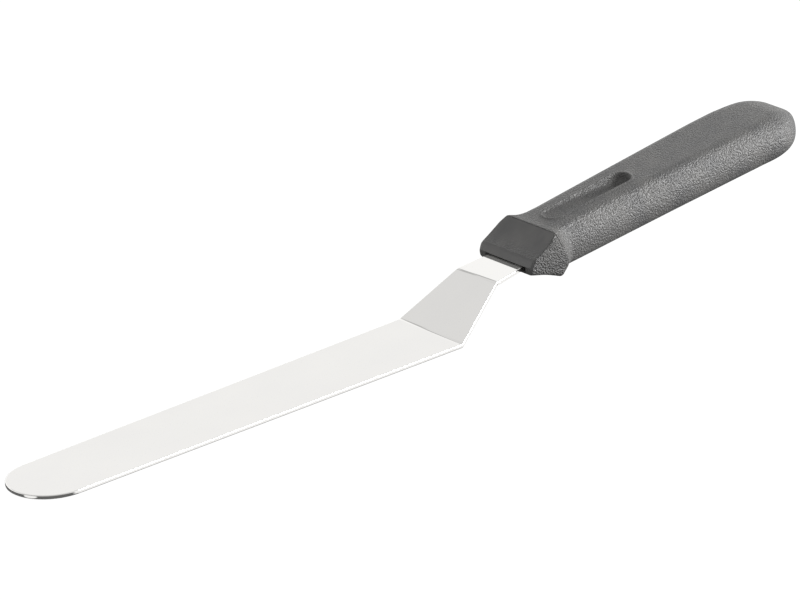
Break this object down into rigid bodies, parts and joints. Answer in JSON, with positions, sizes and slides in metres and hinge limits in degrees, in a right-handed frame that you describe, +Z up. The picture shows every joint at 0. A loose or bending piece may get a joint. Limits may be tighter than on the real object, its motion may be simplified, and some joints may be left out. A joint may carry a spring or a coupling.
{
  "type": "offset spatula",
  "caption": "Offset spatula: a thin steel blade with a rounded tip and a cranked step, moulded into a grained dark grey plastic handle with a wedge-shaped bolster and a thumb groove.",
  "frame": {"origin": "on the plane of the blade's flat underside, under the middle of the overall length and width", "axes": "+X towards the tip of the blade, +Y across the blade, +Z up, away from the flat underside"},
  "size_m": [0.3549, 0.03, 0.0381],
  "materials": {
    "steel": "polished stainless, faint fine grinding lines across the blade",
    "plastic": "matt moulded polypropylene with a fine leather grain; the steep front of the bolster is smooth"
  },
  "bodies": {
    "root": {"blade": "steel", "handle": "plastic"}
  },
  "joints": []
}
